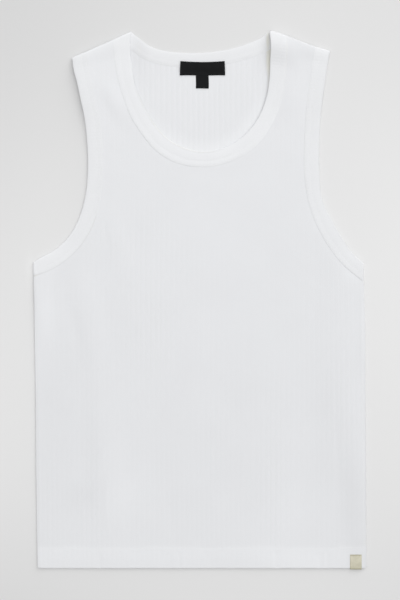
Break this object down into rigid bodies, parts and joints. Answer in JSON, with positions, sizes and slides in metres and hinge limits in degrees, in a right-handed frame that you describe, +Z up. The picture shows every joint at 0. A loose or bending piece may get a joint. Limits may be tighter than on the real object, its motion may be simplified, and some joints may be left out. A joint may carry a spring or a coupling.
{
  "type": "ribbed tank top laid flat",
  "caption": "Sleeveless rib-knit tank top lying flat on its back, with a bound scoop neck and armholes, black neck and size labels and a small loop tab in the hem.",
  "frame": {"origin": "centre of the laid garment's outline, on the surface that it lies on", "axes": "+X across the body to the right as seen from above, +Y from the hem to the shoulders, +Z up from the surface, out of the front of the garment"},
  "size_m": [0.4488, 0.7266, 0.0097],
  "materials": {
    "rib_knit": "soft matte white cotton rib knit",
    "band_knit": "soft matte white cotton rib binding, doubled and topstitched",
    "black_tape": "black satin-woven label tape",
    "cream_tape": "cream woven cotton tape"
  },
  "bodies": {
    "root": {"back_panel": "rib_knit", "front_panel": "rib_knit", "neckband": "band_knit", "armband_left": "band_knit", "armband_right": "band_knit", "neck_label": "black_tape", "size_label": "black_tape", "hem_tab": "cream_tape"}
  },
  "joints": []
}
